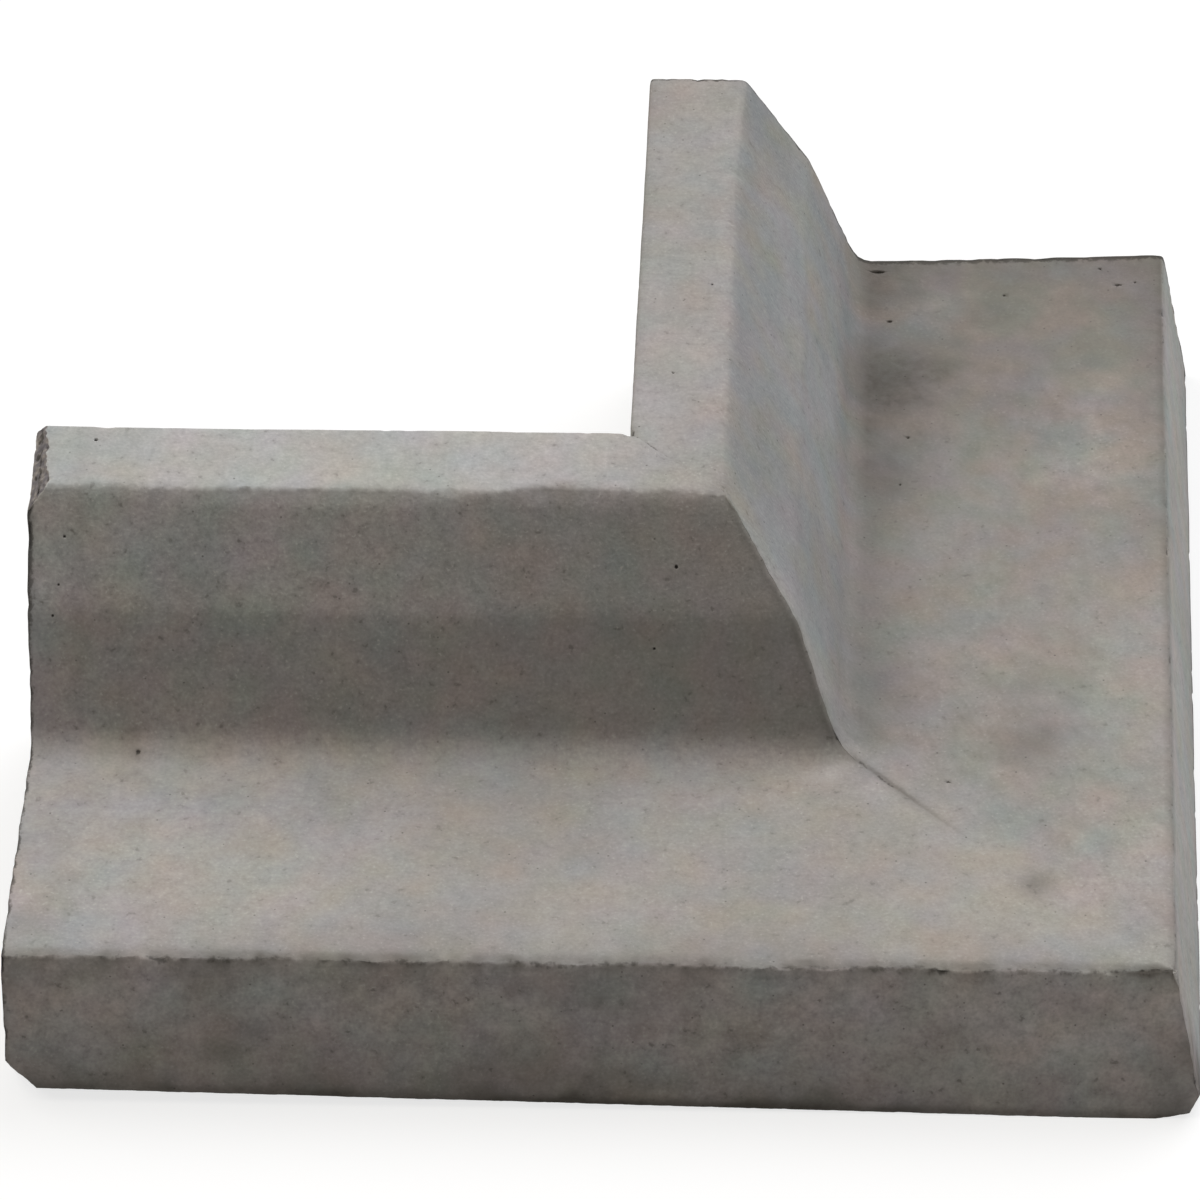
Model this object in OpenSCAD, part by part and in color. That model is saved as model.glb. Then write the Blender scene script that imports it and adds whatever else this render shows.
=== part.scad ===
// Concrete edging corner.
// An upright kerb with a shallow drainage channel along its foot, turned through a square
// outside corner and cast as one solid block. Both legs have the same section, and they meet
// on a mitre plane that runs through the outer corner. The block stands on its flat base with
// the origin under the middle of its square outline: one leg runs to -X, the other to +Y.

/* [Plan] */
// Length of each leg along its outer face, at the base
leg_len = 600; // [450:5:1200]

/* [Channel] */
// Width of the channel floor, from its outer lip to the foot of the kerb
channel_w = 167; // [110:1:260]
// Height of the outer lip above the base
lip_h = 84; // [60:1:110]
// How far the channel floor falls from the lip to the foot of the kerb
channel_fall = 7; // [0:0.5:15]
// How far the outer face leans out between the lip and the base
outer_batter = 15; // [0:1:40]

/* [Kerb] */
// Height of the kerb top above the base
kerb_h = 200; // [170:1:225]
// Width of the flat kerb top
kerb_top_w = 52; // [35:1:110]
// Height of the steep lower kerb face, from the channel floor to the bend
lower_face_h = 70; // [58:1:90]
// How far the lower kerb face leans back over its height
lower_face_run = 27; // [10:1:40]
// How far the upper kerb face leans back from the bend to the top
upper_face_run = 34; // [24:1:60]

/* [Edges] */
// Radius of the hollow where the kerb rises from the channel floor
toe_r = 16; // [4:0.5:25]
// Radius of the bend between the lower and the upper kerb face
bend_r = 30; // [10:1:35]
// Radius of the exposed arrises: the lip and both edges of the kerb top
arris_r = 3; // [1:0.5:8]

/* [Hidden] */

// Section across one leg: x runs inwards from the outer edge of the base, y runs up.
lip = [outer_batter, lip_h];
toe = lip + [channel_w, -channel_fall];
bend = toe + [lower_face_run, lower_face_h];
top_front = [bend[0] + upper_face_run, kerb_h];
top_back = top_front + [kerb_top_w, 0];
section_w = top_back[0];

// Outline of the section, clockwise from the outer edge of the base, and the radius that each
// corner is worked to. The two edges of the base stay sharp.
corners = [[0, 0], lip, toe, bend, top_front, top_back, [section_w, 0]];
radii = [0, arris_r, toe_r, bend_r, arris_r, arris_r, 0];
worked = [1 : len(corners) - 2];

function unit(v) = v / norm(v);
function to_before(i) = unit(corners[i - 1] - corners[i]);
function to_after(i) = unit(corners[i + 1] - corners[i]);
function half_angle(i) = acos(to_before(i) * to_after(i)) / 2;

// Where the arc of corner i leaves the two sides, and where its centre lies.
function tangent(i) = radii[i] / tan(half_angle(i));
function arc_start(i) = corners[i] + to_before(i) * tangent(i);
function arc_end(i) = corners[i] + to_after(i) * tangent(i);
function arc_centre(i) = corners[i] + unit(to_before(i) + to_after(i)) * radii[i] / sin(half_angle(i));

// A corner is hollow where the outline, going clockwise, turns left.
function is_hollow(i) = cross(to_before(i), to_after(i)) < 0;

// The waste is carried past the two sides, and its arc is a hair larger than the radius, so that
// it meets each side at an angle and not along it.
waste_reach = 1.5;
arc_allowance = 0.01;
arc_sides = 96;

// What lies between the sharp corner i and its arc.
module corner_waste(i) {
    centre = arc_centre(i);
    kite = [centre, arc_start(i), corners[i], arc_end(i)];
    difference() {
        polygon([for (p = kite) centre + waste_reach * (p - centre)]);
        translate(centre) circle(r = radii[i] + arc_allowance, $fn = arc_sides);
    }
}

// The section: the hollow corner is filled out to its arc, and the other worked corners are cut
// back to theirs.
module section() {
    difference() {
        union() {
            polygon(corners);
            for (i = worked) if (is_hollow(i)) corner_waste(i);
        }
        for (i = worked) if (!is_hollow(i)) corner_waste(i);
    }
}

// The front leg before mitring, with its outer face towards -Y.
module straight_leg() {
    translate([-leg_len / 2, -leg_len / 2, 0])
        rotate([90, 0, 90])
            linear_extrude(height = leg_len) section();
}

// Everything on the front leg's side of the mitre plane x + y = 0.
module front_of_mitre() {
    translate([0, 0, -kerb_h])
        linear_extrude(height = 3 * kerb_h)
            polygon([[-leg_len, -leg_len], [leg_len, -leg_len], [-leg_len, leg_len]]);
}

module mitred_leg() {
    intersection() {
        straight_leg();
        front_of_mitre();
    }
}

// The whole casting: the front leg and its mirror image across the mitre plane.
module edging_corner() {
    color("#a5a19b")
        union() {
            mitred_leg();
            mirror([1, 1, 0]) mitred_leg();
        }
}

edging_corner();
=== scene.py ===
import math

import bmesh
import bpy
import numpy as np
from mathutils import Matrix, Vector, noise
from mathutils.geometry import delaunay_2d_cdt


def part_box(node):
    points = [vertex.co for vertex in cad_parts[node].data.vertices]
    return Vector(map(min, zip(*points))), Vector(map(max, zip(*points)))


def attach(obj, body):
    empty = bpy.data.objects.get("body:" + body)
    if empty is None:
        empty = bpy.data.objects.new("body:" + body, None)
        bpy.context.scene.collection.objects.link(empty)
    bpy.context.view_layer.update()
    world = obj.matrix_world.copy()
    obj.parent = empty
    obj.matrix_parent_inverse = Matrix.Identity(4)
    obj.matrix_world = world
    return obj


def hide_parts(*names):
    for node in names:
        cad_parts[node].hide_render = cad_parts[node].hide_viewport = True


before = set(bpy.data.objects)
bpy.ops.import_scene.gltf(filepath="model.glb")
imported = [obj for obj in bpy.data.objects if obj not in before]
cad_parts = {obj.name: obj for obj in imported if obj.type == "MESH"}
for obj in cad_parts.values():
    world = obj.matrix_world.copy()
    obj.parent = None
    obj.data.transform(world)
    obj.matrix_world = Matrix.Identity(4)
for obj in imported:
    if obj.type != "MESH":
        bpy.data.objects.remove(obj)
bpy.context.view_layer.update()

# The section of the casting: a kerb with a bent face that stands on the inner edge of a channel
# slab. It is read off the end of the block, and its corners are worked to the radii given here.
# All sizes of the casting are in millimetres.
MM = 0.001
low, high = (np.array(corner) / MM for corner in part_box("edging_corner"))
leg_length = high[0] - low[0]
arris_radius = 2.5
worn_radius = 5
toe_radius = 16
bend_radius = 30
arc_steps = 5
skin_step = 3.4
back_step = 8
shortest_side = 25
hair = 0.01
inside_kerb = np.array([0.8, 0.2])  # shares of the width and the height


def meet(side, other):
    """Where two sides of the section would meet in a sharp corner."""
    along, other_along = side[1] - side[0], other[1] - other[0]
    share = np.linalg.solve(np.array([along, -other_along]).T, other[0] - side[0])[0]
    return side[0] + share * along


def section_corners():
    """Sharp corners of the section, from the outer edge of the base over the kerb to the inner one."""
    found = np.array([v.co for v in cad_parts["edging_corner"].data.vertices]) / MM
    end_points = found[found[:, 0] < low[0] + hair]
    ring = np.unique(np.round(end_points[:, 1:] - [low[1], 0], 3), axis=0)
    arms = ring - inside_kerb * ring.max(axis=0)
    ring = ring[np.argsort(-np.arctan2(arms[:, 1], arms[:, 0]))]
    pairs = zip(ring, np.roll(ring, -1, axis=0))
    sides = [(p, q) for p, q in pairs if np.linalg.norm(q - p) > shortest_side]
    corners = np.array([meet(side, other) for side, other in zip(sides, sides[1:] + sides[:1])])
    return np.roll(corners, -np.argmin(corners.sum(axis=1)), axis=0)


def even_points(start, end, step):
    """Points from the start to just before the end, in even steps of about one length."""
    count = max(1, round(np.linalg.norm(end - start) / step))
    return [start + f * (end - start) for f in np.arange(count) / count]


def section_rows(corners, radii, steps):
    """Points of the rounded section, from the outer edge of the base to the inner one."""
    rows, start = [], corners[0]
    for before, corner, after, radius, step in zip(corners, corners[1:], corners[2:], radii, steps):
        to_before = (before - corner) / np.linalg.norm(before - corner)
        to_after = (after - corner) / np.linalg.norm(after - corner)
        reach = radius / math.tan(math.acos(to_before @ to_after) / 2)
        arc_start, arc_end = corner + to_before * reach, corner + to_after * reach
        rows += even_points(start, arc_start, step)
        rows += [(1 - f) ** 2 * arc_start + 2 * f * (1 - f) * corner + f ** 2 * arc_end
                 for f in np.arange(arc_steps) / arc_steps]
        start = arc_end
    rows += even_points(start, corners[-1], steps[-1])
    return np.array(rows + [corners[-1]])


outer_base, lip, toe, bend, top_front, top_back, inner_base = section_corners()
rows = section_rows([outer_base, lip, toe, bend, top_front, top_back, inner_base],
                    [arris_radius, toe_radius, bend_radius, worn_radius, arris_radius],
                    [skin_step] * 5 + [back_step])

# The casting: one block of grey concrete, cast in a steel mould. The section runs in from the end
# of one leg, turns the square corner on the mitre, and runs out to the end of the other. Its skin
# is drawn close enough to carry the wear, and closer at the mitre and the ends.
mitre_bands = np.array([0, 0.5, 1.0, 1.7, 2.7])
mitre_width = 4
end_bands = np.array([0, 2.0, 3.4, 4.4, 5.0])
end_width = end_bands[-1]
columns_in_leg = 177
end_step = 5
base_step = 30

leg_columns = np.linspace(0, 1, columns_in_leg + 1)[:-1]
fixed = np.concatenate([mitre_bands, np.full(columns_in_leg, mitre_width), mitre_width + end_bands])
shares = np.concatenate([np.zeros(len(mitre_bands)), leg_columns, np.ones(len(end_bands))])
fixed = np.concatenate([-fixed[:0:-1], fixed])
shares = np.concatenate([-shares[:0:-1], shares])
stretch = leg_length - rows[:, 0] - mitre_width - end_width
run = fixed[None, :] + shares[None, :] * stretch[:, None]
skin = np.stack([
    high[0] - rows[:, :1] + np.minimum(run, 0),
    low[1] + rows[:, :1] + np.maximum(run, 0),
    np.repeat(rows[:, 1:], run.shape[1], axis=1)], axis=-1)
vertices = list(map(tuple, skin.reshape(-1, 3)))
index = np.arange(run.size).reshape(run.shape)
quads = [index[:-1, :-1], index[:-1, 1:], index[1:, 1:], index[1:, :-1]]
faces = np.stack(quads, axis=-1).reshape(-1, 4).tolist()


def inside(u, v, ring):
    """Whether a flat point lies inside a ring of points."""
    following = np.roll(ring, -1, axis=0)
    crosses = (ring[:, 1] > v) != (following[:, 1] > v)
    rise = np.where(crosses, following[:, 1] - ring[:, 1], 1)
    meets = ring[:, 0] + (v - ring[:, 1]) / rise * (following[:, 0] - ring[:, 0])
    return np.count_nonzero(crosses & (u < meets)) % 2 == 1


def fill(ring_numbers, flat, place, step):
    """Closes a ring of the casting's points with triangles over a grid of points inside it."""
    ring = np.array([flat(vertices[i]) for i in ring_numbers])
    spans = zip(ring.min(axis=0), ring.max(axis=0))
    columns, lines = (np.arange(start + step / 2, end, step) for start, end in spans)
    margin = 0.4 * step
    around = [(margin, 0), (-margin, 0), (0, margin), (0, -margin)]
    grid = [(u, v) for u in columns for v in lines
            if all(inside(u + du, v + dv, ring) for du, dv in around)]
    numbers = list(ring_numbers) + list(range(len(vertices), len(vertices) + len(grid)))
    vertices.extend(place(u, v) for u, v in grid)
    edges = [(i, (i + 1) % len(ring)) for i in range(len(ring))]
    flat_points = [Vector(p) for p in ring] + [Vector(p) for p in grid]
    only_inside, touching = 1, 1e-4
    _, _, triangles, sources, _, _ = delaunay_2d_cdt(flat_points, edges, [], only_inside, touching)
    faces.extend([numbers[sources[i][0]] for i in triangle] for triangle in triangles)


def base_line(start, end):
    """New points on the base between two points of the casting."""
    line = even_points(np.array(vertices[start]), np.array(vertices[end]), end_step)[1:]
    vertices.extend(map(tuple, line))
    return list(range(len(vertices) - len(line), len(vertices)))


front_base = base_line(index[-1, 0], index[0, 0])
side_base = base_line(index[0, -1], index[-1, -1])
fill(list(index[:, 0]) + front_base, lambda p: (p[1], p[2]), lambda u, v: (low[0], u, v), end_step)
fill(list(index[::-1, -1]) + side_base, lambda p: (p[0], p[2]), lambda u, v: (u, high[1], v), end_step)
fill(list(index[0]) + side_base + list(index[-1, ::-1]) + front_base,
     lambda p: (p[0], p[1]), lambda u, v: (u, v, 0.0), base_step)

casting_mesh = bpy.data.meshes.new("concrete_casting")
casting_mesh.from_pydata(vertices, [], faces)
block = bmesh.new()
block.from_mesh(casting_mesh)
bmesh.ops.recalc_face_normals(block, faces=block.faces)

# Wear on the casting: arrises knocked in handling, corners broken off, rough ends, the seam that
# the mould left along the mitre, and air holes in the cast faces. Each is a shape in the surface,
# and each leaves dirt, a stain or broken stone that the finish picks up.
air_holes = [  # place in plan, width, length along X, depth
    ((129, 290), 2.6, 8.0, 2.5), ((260, 274), 1.6, 5.0, 1.5), ((269, 276), 1.6, 1.6, 1.2),
    ((198, 267), 1.8, 1.8, 1.5), ((250, 289), 1.6, 2.0, 1.2), ((136, 246), 2.2, 3.4, 1.5),
    ((147, 145), 2.0, 2.0, 1.5), ((143, 105), 1.6, 1.6, 1.2), ((170, -136), 2.0, 2.0, 1.5),
    ((-268, -17), 2.2, 2.2, 1.8), ((26, 44), 1.6, 1.6, 1.2), ((45, 119), 1.6, 1.6, 1.2),
    ((31, -77), 2.0, 2.0, 1.5), ((20, -97), 1.6, 1.6, 1.2), ((-281, -71), 1.6, 1.6, 1.0),
    ((-284, -84), 1.4, 1.4, 0.8), ((-287, -92), 1.6, 1.6, 1.0), ((-244, -121), 2.0, 2.6, 0.8),
]
front_edge_break = (560, 12, 10)
breaks = [  # corner of the block, run along X, Y and Z, roughness, how much bare stone shows
    ((low[0], low[1] + top_back[0], high[2]), (6, 60, -6), 1.2, 1.0),
    ((low[0], low[1], 0), (24, 27, 29), 0.6, 0.8),
    ((high[0], low[1], 0), (-9, 22, 24), 0.4, 0.0),
    ((high[0], low[1], 0), (-24, 30, 5), 0.3, 0.0),
    ((low[0], low[1], 0), front_edge_break, 0.25, 0.0),
]
arrises = [  # corner of the section, even wear, depth of the nicks, dirt in them
    (lip, 0.6, 3.0, 2.2), (top_front, 0.4, 1.6, 0.8),
    (top_back, 0.2, 0.8, 0.5), (outer_base, 0.6, 2.5, 2.2),
]
knocked_arrises = [  # corner, reach inwards, reach up and down, most, swing, share on the side leg
    (lip, 8, 3.0, 3.4, 0.5, 0.08), (top_front, 10, 3.0, 3.0, 0.9, 0.3),
]
arris_band = 6
arris_reach = 4
break_bands = (6, 3)
hole_bands = (3.0, 2.0, 1.0)
lowest_hole = 0.8 * toe[1]


def places():
    """Every point of the block, its way past the mitre, its depth into the leg and its height."""
    point = np.array([v.co for v in block.verts])
    past_mitre = point[:, 0] - high[0] + point[:, 1] - low[1]
    depth = np.minimum(point[:, 1] - low[1], high[0] - point[:, 0])
    return point, past_mitre, depth, point[:, 2].copy()


def refine(chosen, lengthways=False):
    """Divides the edges between chosen points, or only those that run along a leg."""
    def runs_along(a, b):
        return abs(a.z - b.z) < hair and min(abs(a.x - b.x), abs(a.y - b.y)) < hair

    edges = [e for e in block.edges if chosen[e.verts[0].index] and chosen[e.verts[1].index]]
    if lengthways:
        edges = [e for e in edges if runs_along(e.verts[0].co, e.verts[1].co)]
    bmesh.ops.subdivide_edges(block, edges=edges, cuts=1, use_grid_fill=True)
    block.verts.index_update()


def break_plane(corner, runs):
    """How far each point stands out from a broken face, and the way into the block from that face."""
    slope = 1 / np.array(runs)
    steepness = np.linalg.norm(slope)
    return (1 - (point - np.array(corner)) @ slope) / steepness, slope / steepness


def from_edge(corner, inwards=0, down=0):
    """How far each point lies from an edge of the section, or from a line just beside the edge."""
    return np.hypot(depth - corner[0] - inwards, height - corner[1] + down)


point, past_mitre, depth, height = places()
refine(np.min([from_edge(arris[0]) for arris in arrises], axis=0) < arris_band, lengthways=True)
for band in break_bands:
    point, past_mitre, depth, height = places()
    refine(np.max([break_plane(corner, runs)[0] for corner, runs, _, _ in breaks], axis=0) > -band)
for band in hole_bands:
    point, past_mitre, depth, height = places()
    holes = [np.hypot((point[:, 0] - x) / (0.5 * length + band), (point[:, 1] - y) / (0.5 * width + band))
             for (x, y), width, length, _ in air_holes]
    refine((np.min(holes, axis=0) < 1) & (height > lowest_hole))
bmesh.ops.triangulate(block, faces=[f for f in block.faces if len(f.verts) > 4])
block.normal_update()

point, past_mitre, depth, height = places()
to_right, to_back = point[:, 0].copy(), point[:, 1].copy()
past_lip, past_toe, past_top_front = depth - lip[0], depth - toe[0], depth - top_front[0]
across_mitre = abs(past_mitre) / math.sqrt(2)
normal = np.array([v.normal for v in block.verts])
on_base = height < hair
normal[on_base, 2] = 0


def wobble(size, seed, stretch=(1, 1, 1)):
    """Smooth noise from -1 to 1 at every point, with bumps of about one size."""
    shift = Vector((seed * 7.3, seed * 3.1, seed * 5.7))
    return np.array([noise.noise(Vector(p) + shift) for p in point / (size * np.array(stretch))])


def fade(distance, width):
    """1 on a line or spot, falling smoothly to 0 past the width."""
    return np.exp(-(distance / width) ** 2)


def ramp(values, start, end):
    """0 before the start and 1 past the end."""
    return np.clip((values - start) / (end - start), 0, 1)


def from_spot(spot):
    """How far each point lies from one spot."""
    return np.linalg.norm(point - np.array(spot), axis=1)


def on_mitre(corner):
    """Where a corner of the section lies on the mitre."""
    return high[0] - corner[0], low[1] + corner[0], corner[1]


# The legs and the faces of the block. Weather passes slowly from one leg to the other over the
# turn, and light and shade change at the ridge. A point a little below a level face still counts
# as part of it.
turn_width = 40
ridge_width = 3
face_slack = 3
on_front_leg = ramp(-past_mitre, 0, turn_width)
on_side_leg = ramp(past_mitre, 0, turn_width)
in_front = ramp(-past_mitre, 0, ridge_width)
at_side = ramp(past_mitre, 0, ridge_width)
on_end = (to_right < low[0] + hair) | (to_back > high[1] - hair)
on_floor = (height > toe[1] - face_slack) & ~on_end
in_channel = ramp(past_lip, 0, 2.5) * (1 - ramp(past_toe, -6, 12)) * on_floor
on_kerb_face = ramp(past_toe, -2, 8) * (1 - ramp(past_top_front, -4, 0)) * (~on_base & ~on_end)
on_top = ramp(past_top_front, -2, 2) * (height > high[2] - face_slack) * ~on_end
on_outer_face = (past_lip < 1) & (height < lip[1] + 1) & ~on_end
from_top_corner = from_spot(on_mitre(top_front))

# Unevenness of the cast faces.
sink = 0.2 + 0.25 * wobble(110, 1) + 0.2 * wobble(32, 2) + 0.08 * wobble(11, 3)

# Knocked arrises: a slow waver, and short nicks that hold dirt. The front leg's are the worst.
grime = np.zeros(len(point))
waver = wobble(42, 4)
nick = np.clip(wobble(7.5, 5) + 0.5 * wobble(21, 6) - 0.3, 0, None)
for corner, wear, nick_depth, nick_dirt in arrises:
    near = fade(from_edge(corner), arris_reach)
    under_edge = height < corner[1] - 0.5
    sink += near * (wear * (1 + 0.5 * waver) + nick_depth * nick)
    grime = np.maximum(grime, near * np.clip(nick_dirt * nick, 0, 1) * under_edge)

chips = wobble(14, 22)
crumbling = wobble(4, 34)
knock = np.zeros((len(point), 3))
knocked_face = np.zeros(len(point))
up_to_mitre = ramp(-past_mitre, -8, 0)
before_far_end = 1 - ramp(to_back, 220, 290)
for corner, reach, drop, most, swing, side_share in knocked_arrises:
    near = fade(depth - corner[0], reach) * fade(height - corner[1], drop)
    blow = near * most * np.clip(0.55 + swing * waver + 0.45 * chips + 0.35 * crumbling, 0, None)
    knock[:, 1] += blow * up_to_mitre
    knock[:, 0] -= side_share * blow * on_side_leg * before_far_end
    knocked_face += blow * ramp(corner[1] - height, 0.3, 1.5) * in_front

# The upper kerb face leans back a little towards the top, but not along the middle of the front.
right_lean, left_lean, side_lean = 3.3, 2.8, 2.8
lean = ramp(height, bend[1] + 6, high[2]) * fade(np.clip(past_top_front, 0, None), 12)
lean *= (past_toe > 0) & ~on_end
front_lean = right_lean * ramp(to_right, -95, -50) + left_lean * ramp(-to_right, 225, 250)
knock[:, 1] += lean * up_to_mitre * front_lean
knock[:, 0] -= side_lean * lean * at_side * before_far_end

# The two corners that stand out most are knocked round.
at_lip_corner = fade(from_spot(on_mitre(lip)), 12)
knock[:, 1] += 2.0 * at_lip_corner
sink += 1.5 * at_lip_corner ** 2 + 1.5 * fade(from_top_corner, 8)

# The mitre: a beaded seam on the floor and a finer one on the top, and worn ridges elsewhere. The
# floor's seam runs a little aside of the mitre.
seam_aside = 3.5
beads = np.clip(0.6 + 1.1 * wobble(5, 7), 0, 1)
seam_run = ramp(past_toe, -64, -30) * (past_toe < -3) * on_floor
floor_seam = fade(across_mitre, 1.4) * seam_run
seam_pull = fade(across_mitre, 12) * ramp(past_toe, -57, -10) * (1 - ramp(past_toe, -6, 6)) * on_floor
knock[:, :2] += seam_aside / math.sqrt(2) * seam_pull[:, None]
toe_spot = fade(np.hypot(across_mitre, past_toe - 4.5), 2.0) * (height > toe[1] + face_slack)
top_seam = fade(across_mitre, 0.9) * ramp(depth, top_back[0] - 40, top_back[0] - 14)
top_seam *= (height > high[2] - face_slack) * (0.6 + 0.4 * beads)
inner_nick = fade(from_spot(on_mitre(top_back)), 3)
sink += 0.8 * floor_seam + 0.8 * toe_spot + 0.35 * top_seam + 1.5 * inner_nick

ridge_bulge, bulge_height = 1.9, 142
ridge = fade(across_mitre, 2.0) * (on_kerb_face + on_outer_face)
ridge_dirt = ridge * np.clip(0.3 + 1.2 * nick, 0, 0.8) * on_outer_face
knock[:, 0] -= 0.9 * ridge * np.clip(0.3 + crumbling + 0.5 * chips, 0, None)
knock[:, 0] += ridge_bulge * fade(across_mitre, 8) * fade(height - bulge_height, 28) * on_kerb_face
sink += ridge * (0.3 + 0.2 * wobble(12, 8) + 2.5 * nick * on_outer_face)
grime = np.max([grime, 0.65 * floor_seam * beads, 0.8 * toe_spot, 0.6 * top_seam,
                0.7 * inner_nick, ridge_dirt], axis=0)

# Air holes: round or drawn-out bowls with sharp edges.
for (x, y), width, length, hole_depth in air_holes:
    in_plan = np.hypot(to_right - x, to_back - y) + leg_length * (height < lowest_hole)
    centre = point[np.argmin(in_plan)]
    along = (to_right - centre[0]) / (0.5 * length)
    across = np.hypot(to_back - centre[1], height - centre[2]) / (0.5 * width)
    bowl = np.sqrt(np.clip(1 - along ** 2 - across ** 2, 0, None))
    sink += hole_depth * bowl
    grime = np.maximum(grime, 0.9 * np.sqrt(bowl))

# Stains in the channel: a film, thicker towards the far end, along the foot of the side leg's kerb
# and along the lip, and a dark line beside the seam. Painted shade darkens the foot of the side leg's
# kerb, and painted light lightens the foot of the front leg's kerb.
leftwards = ramp(-to_right, 100, 290)
along_side = ramp(to_back, -20, 300)
channel_film = in_channel * (0.16 - 0.16 * leftwards + on_side_leg * (0.12 + 0.42 * along_side))
side_foot_film = 0.16 * in_channel * on_side_leg * fade(past_toe + 8, 26)
# Painted shade: the floor along the foot of the side leg's kerb is darker, past the turn.
side_foot_shade = 0.12 * on_floor * at_side * fade(past_mitre - 80, 60) * fade(past_toe - 8, 22)
# Painted light: the channel right by the foot of the front leg's kerb is made lighter.
front_foot_painted_light = 0.12 * in_channel * on_front_leg * fade(past_toe, 14)
lip_film = 0.12 * in_channel * on_front_leg * fade(past_lip, 30)
side_lip_film = 0.14 * in_channel * at_side * along_side * fade(past_lip - 2, 12)
side_lip_film *= 0.3 + 0.7 * before_far_end
seam_stain = 0.33 * seam_run * fade(across_mitre, 2.6)
stain_and_painted_shading = channel_film + side_foot_film + side_foot_shade - front_foot_painted_light
stain_and_painted_shading += lip_film + side_lip_film + seam_stain

# Stains on the kerb: a film on the front, darker below the bend and to the right, one run mark near
# the left end, and a thin film on the side leg. A band of painted shade lies just over the foot of the
# front kerb, and a thin line of painted shade lies beside the ridge.
run_mark_at = -274
front_foot_shade_height = 91
rightwards = ramp(to_right, -250, 50)
above_toe = on_kerb_face * ramp(past_toe, 2, 12)
below_bend = ramp(bend[1] - height, -9, 9)
front_film = 0.14 + 0.11 * rightwards + below_bend * (0.06 + 0.13 * rightwards)
front_film += 0.13 * ramp(to_right, -120, 0) * (1 - below_bend) - 0.08 * fade(to_right - low[0], 25)
# Painted shade: a darker band on the front kerb face just over the foot, stronger to the right.
front_foot_painted_shade = on_kerb_face * in_front * fade(height - front_foot_shade_height, 9) * ramp(past_toe, 0, 4)
front_foot_painted_shade *= 0.08 + 0.2 * ramp(to_right, -220, 60)
run_mark = 0.1 * fade(to_right - run_mark_at + 2 * wobble(20, 35), 4.5) * (on_kerb_face + on_top)
run_mark *= on_front_leg
# Painted shade: a thin dark line on the front kerb face beside the ridge.
ridge_painted_shade = 0.15 * on_kerb_face * in_front * fade(past_mitre + 3, 2.5)
side_film = above_toe * on_side_leg * (0.1 - 0.05 * below_bend)
side_top_film = 0.06 * on_top * on_side_leg * (1 + ramp(to_back, 0, 300))
back_edge_stain = 0.15 * at_side * fade(from_edge(top_back), 3)
stain_and_painted_shading += above_toe * in_front * front_film + front_foot_painted_shade + run_mark + ridge_painted_shade
stain_and_painted_shading += side_film + side_top_film + back_edge_stain

# Dirt on the lip: broken and smeared along the front leg, and one fine line along the side leg.
lip_swing, lip_specks = wobble(20, 23), wobble(6, 13)
lip_smear = np.clip(0.36 + 0.4 * lip_swing + 0.25 * lip_specks, 0, 1)
lip_line = 0.46 + 0.14 * lip_swing + 0.2 * lip_specks
side_line = 0.42 + 0.12 * wobble(26, 32) + 0.16 * wobble(5, 33)
from_side_line = from_edge(lip, inwards=-0.3)
stain_and_painted_shading += lip_smear * fade(from_edge(lip, inwards=3, down=1), 5) * in_front + 0.22 * knocked_face
stain_and_painted_shading += (0.36 - 0.16 * along_side + 0.5 * side_line) * fade(from_side_line, 2.6) * at_side
grime = np.maximum(grime, lip_line * fade(from_edge(lip, inwards=1, down=1), 2.8) * in_front)
grime = np.maximum(grime, side_line * fade(from_side_line, 2.2) * at_side)

# Smudges that something left, and patches that were wiped clean.
smudges = [  # place, reach, strength, which is negative on a clean patch
    ((137, 190, 78), 26, 0.24), ((137, 110, 78), 26, 0.12), ((210, -108, 81), 18, 0.27),
    ((214, -216, 81), 9, 0.42), ((228, -52, 82), 24, 0.13), ((219, -85, 81), 30, 0.08),
    ((252, 125, 83), 32, -0.28), ((268, -210, 83), 34, -0.22), ((137, 248, 78), 24, -0.26),
    ((168, 258, 80), 18, -0.08), ((160, 208, 79), 15, 0.12), ((-12, -293, 57), 26, 0.14),
    ((-200, -293, 48), 28, 0.16), ((150, -293, 40), 34, 0.12), ((37, -288, 79), 22, 0.22),
    ((-53, -288, 80), 12, 0.18), ((-33, -296, 22), 26, 0.28), ((278, -290, 80), 9, 0.30),
    ((-289, -209, 81), 14, 0.10), ((-281, -188, 80), 11, 0.16), ((-274, -224, 82), 10, 0.14),
    ((-289, -256, 83), 13, 0.20), ((247, 175, 83), 24, -0.10), ((217, -22, 81), 18, 0.10),
    ((145, -56, 79), 18, 0.12), ((120, -95, 85), 12, 0.12), ((112, -146, 79), 16, 0.12),
    ((-62, -155, 79), 30, 0.10), ((150, -182, 80), 36, 0.06), ((-143, -95, 130), 40, -0.09),
    ((280, -292, 40), 20, 0.25), ((-150, -298, 8), 34, 0.16), ((-246, -112, 85), 4, 0.45),
    ((-245, -122, 77), 5, 0.40), ((-244, -136, 78), 6, 0.22), ((284, -299, 5), 15, 0.30),
    ((290, -296, 22), 16, 0.18),
]
rough_edge = 1 + 0.5 * wobble(14, 9) + 0.3 * wobble(5, 10)
for spot, reach, strength in smudges:
    stain_and_painted_shading += strength * fade(from_spot(spot) * rough_edge, reach)

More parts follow.
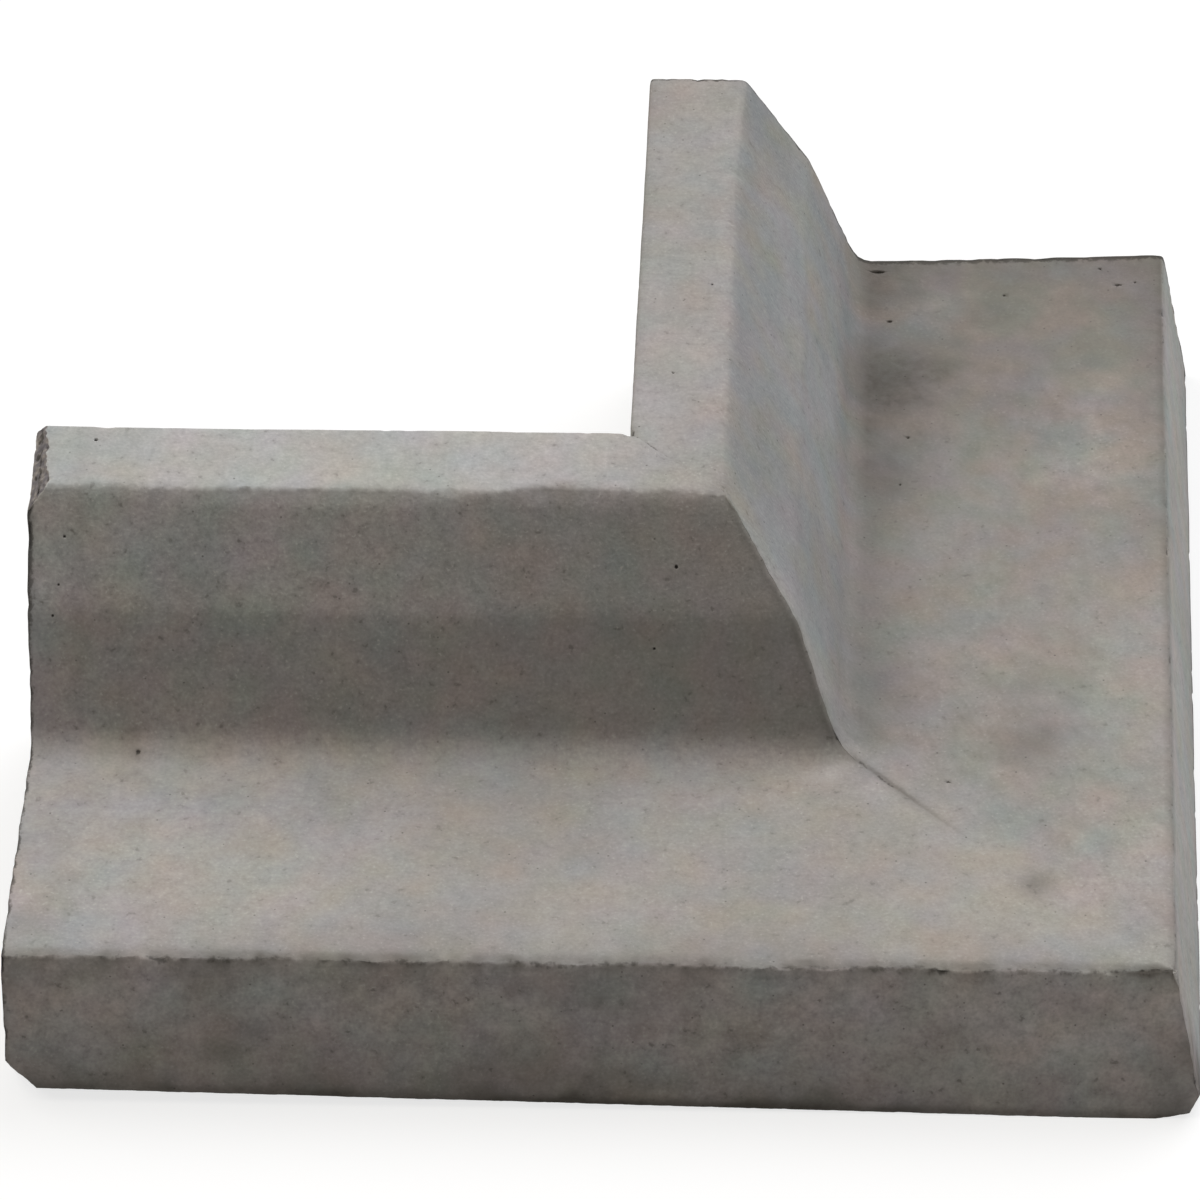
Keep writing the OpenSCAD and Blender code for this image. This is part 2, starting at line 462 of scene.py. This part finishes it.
# Dirt on the outer faces: streaks, a film and a dark line that rise from the ground, or from the
# broken front edge, a shade under the lip, and dirt round the near corner.
near_corner = (296, -284, 12)
worst_splash_at = 40
broken_up_to = front_edge_break[2] * np.clip(1 - (to_right - low[0]) / front_edge_break[0], 0, None)
above_break = np.clip(height - broken_up_to, 0, None)
streaks = np.clip(wobble(24, 11, (1.6, 1, 1)) + 0.4 * wobble(9, 12, (1.6, 1, 1)), 0, None)
splash_height = 9 * np.clip(1 + 2.2 * wobble(34, 30) + 0.8 * wobble(9, 31), 0.3, None)
splashes = 0.6 * fade(above_break, splash_height) * (0.3 + 0.25 * fade(to_right - worst_splash_at, 110))
ground_line = 0.3 * fade(above_break, 3.5) * np.clip(0.8 + 0.6 * wobble(16, 42), 0, 1)
ground_film = 0.25 * fade(above_break, 30) * (1 - 0.5 * ramp(to_right, 150, 200))
under_lip = 0.13 * fade(lip[1] - height - 5, 6)
outer_dirt = (0.36 * streaks + splashes + ground_line + ground_film + under_lip) * (1 - 0.7 * on_side_leg)
side_ground_line = 0.5 * fade(height, 5) * at_side
corner_dirt = 0.6 * fade(from_spot(near_corner) * rough_edge, 20) * ramp(past_mitre, -1, 0.5)
stain_and_painted_shading += on_outer_face * (outer_dirt + side_ground_line + corner_dirt)

# Patches that the mix and the weather left: lighter and darker, rosy and greenish, yellowish and
# bluish ones. The front leg's top is lighter. Painted light lifts the outer faces and the foot of the
# front kerb at the left, and the warmer front faces and the bluish side kerb face are painted tints of
# light.
seam_end = (105, -127, 78)
far_channel = along_side * in_channel
beside_foot = (1 - ramp(past_toe, 0, 5)) * on_floor * fade(past_toe + 8, 45)
# The front leg's top is lighter.
lighter_front_top = 0.10 * on_top * on_front_leg * ramp(-to_right, -40, 30)
dull_top = 0.08 * on_top * fade(from_top_corner, 55)
# Painted light: the outer faces are lighter towards the right and on the side leg, for light thrown up
# from bright ground.
outer_face_painted_light = 0.02 + 0.19 * ramp(to_right, 0, 250) + 0.10 * on_side_leg
front_mottling = in_front * (0.03 + 0.12 * wobble(5, 40) + 0.11 * wobble(11, 41))
side_mottling = on_side_leg * in_channel * (0.09 * wobble(5, 36) + 0.08 * wobble(9, 37))
far_mottling = far_channel * (0.10 * wobble(8, 38) + 0.12 * wobble(20, 39))
# Painted light: the channel by the foot of the front kerb is lighter towards the left end.
left_foot_painted_light = 0.16 * on_front_leg * beside_foot * ramp(-to_right, 120, 240)
pale_seam_end = 0.12 * in_front * fade(from_spot(seam_end), 14)
patches_and_painted_light = 1 + 0.12 * wobble(95, 19) + 0.07 * wobble(26, 20) + 0.05 * wobble(10, 24)
patches_and_painted_light += lighter_front_top - dull_top + on_outer_face * (outer_face_painted_light + front_mottling)
patches_and_painted_light += side_mottling + far_mottling + left_foot_painted_light + pale_seam_end

rosy_swing = 1 + 0.8 * on_kerb_face * on_front_leg + 0.8 * in_channel * on_side_leg
rosy_swing += 0.4 * on_outer_face + 0.7 * far_channel
rosy_with_painted_light = 0.52 + rosy_swing * (0.42 * wobble(30, 21) + 0.28 * wobble(15, 25))
# Painted tints of the light: the front kerb face and the outer front face warmer, for light thrown up
# from the ground, and the side leg's kerb face and outer face cooler, for sky light.
rosy_with_painted_light += 0.06 * in_channel + 0.06 * on_kerb_face * on_front_leg - 0.12 * on_kerb_face * on_side_leg
rosy_with_painted_light += 0.08 * on_top * on_side_leg - 0.12 * on_top * on_front_leg
rosy_with_painted_light += 0.2 * on_outer_face * (1 - 1.6 * on_side_leg)
yellowish_swing = 1 + on_kerb_face * on_side_leg + 0.3 * in_channel + far_channel
yellowish_with_painted_light = 0.5 + yellowish_swing * (0.4 * wobble(36, 26) + 0.32 * wobble(16, 27))
# Painted sky tint: the top and the side leg's kerb face are made bluer.
yellowish_with_painted_light += in_channel * (0.1 - 0.2 * leftwards) - 0.1 * on_top - 0.3 * on_kerb_face * on_side_leg
graininess = 0.8 + 0.5 * in_front * (on_kerb_face + on_outer_face) - 0.15 * on_kerb_face * on_side_leg

# Rough ends: uneven faces, with ragged edges that hold dirt.
end_dirt_reach = 2.5
worst_end_height = 160
end_depth = 7
end_stain = 0.15
unevenness = np.clip(0.3 + 0.4 * wobble(18, 14) + 0.3 * wobble(6, 15), 0, None)
ragged = np.clip(wobble(5, 28) + 0.8 * wobble(16, 29), 0, None)
for from_end, axis, inwards, dirt_reach in [
        (to_right - low[0], 0, 1, end_dirt_reach + 2.0 * fade(height - worst_end_height, 24)),
        (high[1] - to_back, 1, -1, end_dirt_reach + 2.5 * (past_toe < 0))]:
    on_this_end = from_end < hair
    to_edge = np.zeros(len(point))
    to_edge[on_this_end] = [min(h, np.hypot(d - rows[:, 0], h - rows[:, 1]).min())
                            for d, h in zip(depth[on_this_end], height[on_this_end])]
    point[:, axis] += inwards * unevenness * (1 - ramp(from_end, 0, end_depth))
    sink += ragged * fade(from_end + to_edge, end_dirt_reach)
    stain_and_painted_shading += end_stain * on_this_end
    spread = np.where(on_this_end, end_dirt_reach, dirt_reach)
    thickness = np.clip(0.3 + 0.1 * dirt_reach + ragged, 0, 0.9)
    grime = np.maximum(grime, fade(from_end + to_edge, spread) * thickness)

point += knock - normal * sink[:, None]
point[on_base, 2] = 0

# Broken corners: the stone is gone down to a rough face, with crumbs in it.
broken = np.zeros(len(point))
crumbs = 0.9 * wobble(8, 17) + 0.6 * wobble(3, 18)
for corner, runs, roughness, bareness in breaks:
    proud, inward = break_plane(corner, runs)
    proud += roughness * crumbs
    point += inward * np.clip(proud, 0, None)[:, None]
    broken = np.maximum(broken, bareness * np.clip(proud, 0, 1))
    grime = np.maximum(grime, 0.8 * np.clip(proud, 0, 1) * ramp(crumbs, 0.25, 0.7) * roughness)

point = np.clip(point, low, high)
for vertex, spot in zip(block.verts, point * MM):
    vertex.co = spot
block.to_mesh(casting_mesh)
block.free()
for kind, amounts in [
        ("patches_and_painted_light", patches_and_painted_light), ("rosy_with_painted_light", rosy_with_painted_light), ("yellowish_with_painted_light", yellowish_with_painted_light), ("graininess", graininess),
        ("stain_and_painted_shading", stain_and_painted_shading), ("grime", grime), ("broken", broken)]:
    layer = casting_mesh.attributes.new(kind, "FLOAT", "POINT")
    layer.data.foreach_set("value", amounts.astype(np.float32))
casting_mesh.shade_smooth()
casting = bpy.data.objects.new("concrete_casting", casting_mesh)
bpy.context.scene.collection.objects.link(casting)
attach(casting, "root")
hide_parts("edging_corner")


# The finish of the casting: bare cement and sand, matt, as it came from the mould. The skin is
# mottled in soft patches, grainy close up and pricked with pinholes, and it has taken up dirt. Its
# colour also carries the painted light, shade and tints of light laid in the mesh's layers.
class Tone:
    """A value or a colour on its way through a finish. Sums written with it become Math nodes."""

    tree = None

    def __init__(self, socket):
        self.socket = socket

    @classmethod
    def node(cls, kind, settings, inputs, output=0):
        """Adds a node of any kind, with its settings and the values or links of its sockets."""
        made = cls.tree.nodes.new("ShaderNode" + kind)
        for name, setting in settings.items():
            setattr(made, name, setting)
        for name, value in inputs.items():
            if isinstance(value, Tone):
                cls.tree.links.new(value.socket, made.inputs[name])
            else:
                made.inputs[name].default_value = value
        return cls(made.outputs[output]) if made.outputs else None

    def sibling(self, output):
        """Another output of the node that this value comes from."""
        return Tone(self.socket.node.outputs[output])

    @classmethod
    def maths(cls, operation, first, second):
        """Adds a Math node on two values."""
        return cls.node("Math", {"operation": operation}, {0: first, 1: second})

    def __add__(self, other):
        return Tone.maths("ADD", self, other)

    def __sub__(self, other):
        return Tone.maths("SUBTRACT", self, other)

    def __rsub__(self, other):
        return Tone.maths("SUBTRACT", other, self)

    def __mul__(self, other):
        return Tone.maths("MULTIPLY", self, other)

    __radd__ = __add__
    __rmul__ = __mul__


def new_finish(name):
    """An empty material, ready for its nodes."""
    finish = bpy.data.materials.new(name)
    finish.use_nodes = True
    Tone.tree = finish.node_tree
    Tone.tree.nodes.clear()
    return finish


def cloud(size, detail):
    """Grains or patches of about one size, from 0 to 1."""
    return Tone.node("TexNoise", {}, {"Vector": place, "Scale": 1 / (size * MM), "Detail": detail})


def between(value, start, end):
    """0 up to the start, 1 past the end, and smooth between them."""
    return Tone.node("MapRange", {"interpolation_type": "SMOOTHSTEP"},
                     {"Value": value, "From Min": start, "From Max": end})


def blend(share, first, second):
    """A colour that goes from the first to the second by a share."""
    return Tone.node("Mix", {"data_type": "RGBA"}, {0: share, 6: first, 7: second}, 2)


def dimmed(colour, value):
    """A colour made darker or lighter by a value."""
    return Tone.node("VectorMath", {"operation": "SCALE"}, {0: colour, "Scale": value})


def tinted(colour, tint):
    """A colour seen through a tint."""
    return Tone.node("VectorMath", {"operation": "MULTIPLY"}, {0: colour, 1: tint})


def worn(kind):
    """How much of one kind of wear a place has."""
    return Tone.node("Attribute", {"attribute_name": kind}, {}, "Fac")


rosy_cement = (0.404, 0.358, 0.348, 1)
greenish_cement = (0.345, 0.364, 0.345, 1)
yellowish_tint = (1.03, 1.0, 0.92, 1)
bluish_tint = (0.97, 1.0, 1.07, 1)
stain_and_painted_shade_colour = (0.108, 0.098, 0.086, 1)
dirt_colour = (0.040, 0.036, 0.031, 1)
speck_colour = (0.52, 0.50, 0.47, 1)
# The dark of broken stone is deepened with painted shade, for rough broken faces that lie in shade.
broken_dark_and_painted_shade = (0.165, 0.152, 0.158, 1)
broken_pale = (0.30, 0.27, 0.245, 1)
sand_size = 1.8
crust_size = 5
pinhole_spacing = 5
sand_relief = 0.3 * MM

concrete = new_finish("concrete")
place = Tone.node("TexCoord", {}, {}, "Object")
sand = cloud(sand_size, 1.5)
crust = cloud(crust_size, 3.0)
pinhole = Tone.node("TexVoronoi", {}, {"Vector": place, "Scale": 1 / (pinhole_spacing * MM)}, "Distance")
pinhole_chance = Tone.node("SeparateColor", {}, {0: pinhole.sibling("Color")})
pinholes = (1 - between(pinhole, 0.05, 0.15)) * between(pinhole_chance, 0.65, 1.0)

grainy = worn("graininess")
grain = 1 + grainy * (0.5 * (crust - 0.5) + 0.4 * (sand - 0.5))
tint = blend(worn("yellowish_with_painted_light"), bluish_tint, yellowish_tint)
# The cement colour takes painted light from the patches layer and painted tints of the light from the
# rosy and yellowish layers.
cement_and_painted_light = dimmed(tinted(blend(worn("rosy_with_painted_light"), greenish_cement, rosy_cement), tint), worn("patches_and_painted_light") * grain)
light_specked = blend(0.5 * grainy * between(sand, 0.64, 0.76), cement_and_painted_light, speck_colour)
dark_specked = blend(0.36 * grainy * (1 - between(crust, 0.25, 0.35)), light_specked, stain_and_painted_shade_colour)
# Stains and painted shade darken the skin together.
stained_and_painted_shade = blend(worn("stain_and_painted_shading") * (0.75 + 0.5 * crust), dark_specked, stain_and_painted_shade_colour)

chipped = worn("broken")
rimmed = blend(0.4 * between(chipped, 0.02, 0.25), stained_and_painted_shade, speck_colour)
# Broken stone: its dark end carries painted shade.
broken_stone_and_painted_shade = dimmed(blend(between(crust, 0.4, 0.7), broken_dark_and_painted_shade, broken_pale), 0.6 + 0.8 * sand)
whole = blend(between(chipped, 0.3, 0.6), rimmed, broken_stone_and_painted_shade)

grimy = worn("grime")
caked = between(grimy + 0.9 * (crust - 0.5) + 0.7 * (sand - 0.5), 0.32, 0.68) * (0.3 + 0.65 * grimy)
matt = Tone.node("BsdfPrincipled", {}, {
    "Base Color": blend(caked + 0.6 * pinholes, whole, dirt_colour),
    "Roughness": 0.97 - 0.14 * crust,
    "Specular IOR Level": 0.25,
    "Normal": Tone.node("Bump", {}, {"Strength": 0.7, "Distance": sand_relief, "Height": sand}),
})
Tone.node("OutputMaterial", {}, {"Surface": matt})
casting_mesh.materials.append(concrete)

# The floor: a plain pale sheet that the block stands on. The camera sees it white with a soft
# shadow, and the block sees it dimmer, so that little light comes back up onto its front.
floor_half = 6.0
floor_grey = (0.32, 0.32, 0.32, 1)
shadow_grey = (0.3, 0.3, 0.3, 1)
floor_glow = 0.74
floor_mesh = bpy.data.meshes.new("floor")
floor_mesh.from_pydata([(-floor_half, -floor_half, 0), (floor_half, -floor_half, 0),
                        (floor_half, floor_half, 0), (-floor_half, floor_half, 0)], [], [(0, 1, 2, 3)])
floor = bpy.data.objects.new("floor", floor_mesh)
bpy.context.scene.collection.objects.link(floor)


def seen_direct():
    """1 for what the camera sees, also by reflection or through glass, and 0 for the light itself."""
    ray = Tone.node("LightPath", {}, {}, "Is Camera Ray")
    return ray + ray.sibling("Is Glossy Ray") + ray.sibling("Is Transmission Ray")


floor_paint = new_finish("floor_paint")
dim_floor = Tone.node("BsdfDiffuse", {}, {"Color": floor_grey})
white_floor = Tone.node("AddShader", {}, {
    0: Tone.node("BsdfDiffuse", {}, {"Color": shadow_grey}),
    1: Tone.node("Emission", {}, {"Strength": floor_glow}),
})
floor_surface = Tone.node("MixShader", {}, {0: seen_direct(), 1: dim_floor, 2: white_floor})
Tone.node("OutputMaterial", {}, {"Surface": floor_surface})
floor_mesh.materials.append(floor_paint)

# The light: a dim even sky and two broad soft lamps, one high behind the block on its right and
# one high on its left. Together they give its top the full light, and its front only some.
sky_colour = (1.04, 1.0, 0.93, 1)
sky_strength = 0.25
white = (1, 1, 1, 1)
lamps = [  # name, direction from +Y towards +X, height and breadth in degrees, light on the top, colour
    ("back_lamp", 32, 50, 45, 0.45, (0.98, 1.0, 1.04)),
    ("left_lamp", -76, 53, 45, 0.30, (1.04, 1.0, 0.93)),
]
scene = bpy.context.scene
scene.view_settings.view_transform = "Standard"
sky = bpy.data.worlds.new("sky")
sky.use_nodes = True
scene.world = sky
Tone.tree = sky.node_tree
Tone.tree.nodes.clear()
dim_sky = Tone.node("Background", {}, {"Color": sky_colour, "Strength": sky_strength})
white_sky = Tone.node("Background", {}, {"Color": white, "Strength": 1.0})
sky_surface = Tone.node("MixShader", {}, {0: seen_direct(), 1: dim_sky, 2: white_sky})
Tone.node("OutputWorld", {}, {"Surface": sky_surface})


def direction(turn, tilt):
    """The way towards something, by its turn from +Y towards +X and its height, both in degrees."""
    turn, tilt = math.radians(turn), math.radians(tilt)
    return Vector((math.sin(turn) * math.cos(tilt), math.cos(turn) * math.cos(tilt), math.sin(tilt)))


for lamp_name, turn, tilt, breadth, light_on_top, lamp_colour in lamps:
    lamp_data = bpy.data.lights.new(lamp_name, "SUN")
    lamp_data.energy = light_on_top * math.pi / math.sin(math.radians(tilt))
    lamp_data.angle = math.radians(breadth)
    lamp_data.color = lamp_colour
    lamp = bpy.data.objects.new(lamp_name, lamp_data)
    lamp.rotation_euler = direction(turn, tilt).to_track_quat("Z", "Y").to_euler()
    scene.collection.objects.link(lamp)

# The camera: a long lens well back, looking down on the corner from the front and a little to the
# right of it.
camera_turn = 180 - 2.92
camera_tilt = 39.785
camera_roll = math.radians(-1.13)
camera_distance = 4.4287
aimed_at = Vector((-0.0110, -0.0205, 0.1))
towards_camera = direction(camera_turn, camera_tilt)
camera_data = bpy.data.cameras.new("camera")
camera_data.lens = 256.3
camera_data.sensor_width = 36
camera = bpy.data.objects.new("camera", camera_data)
camera.location = aimed_at + towards_camera * camera_distance
level_view = towards_camera.to_track_quat("Z", "Y").to_matrix()
camera.rotation_euler = (level_view @ Matrix.Rotation(camera_roll, 3, "Z")).to_euler()
scene.collection.objects.link(camera)
scene.camera = camera
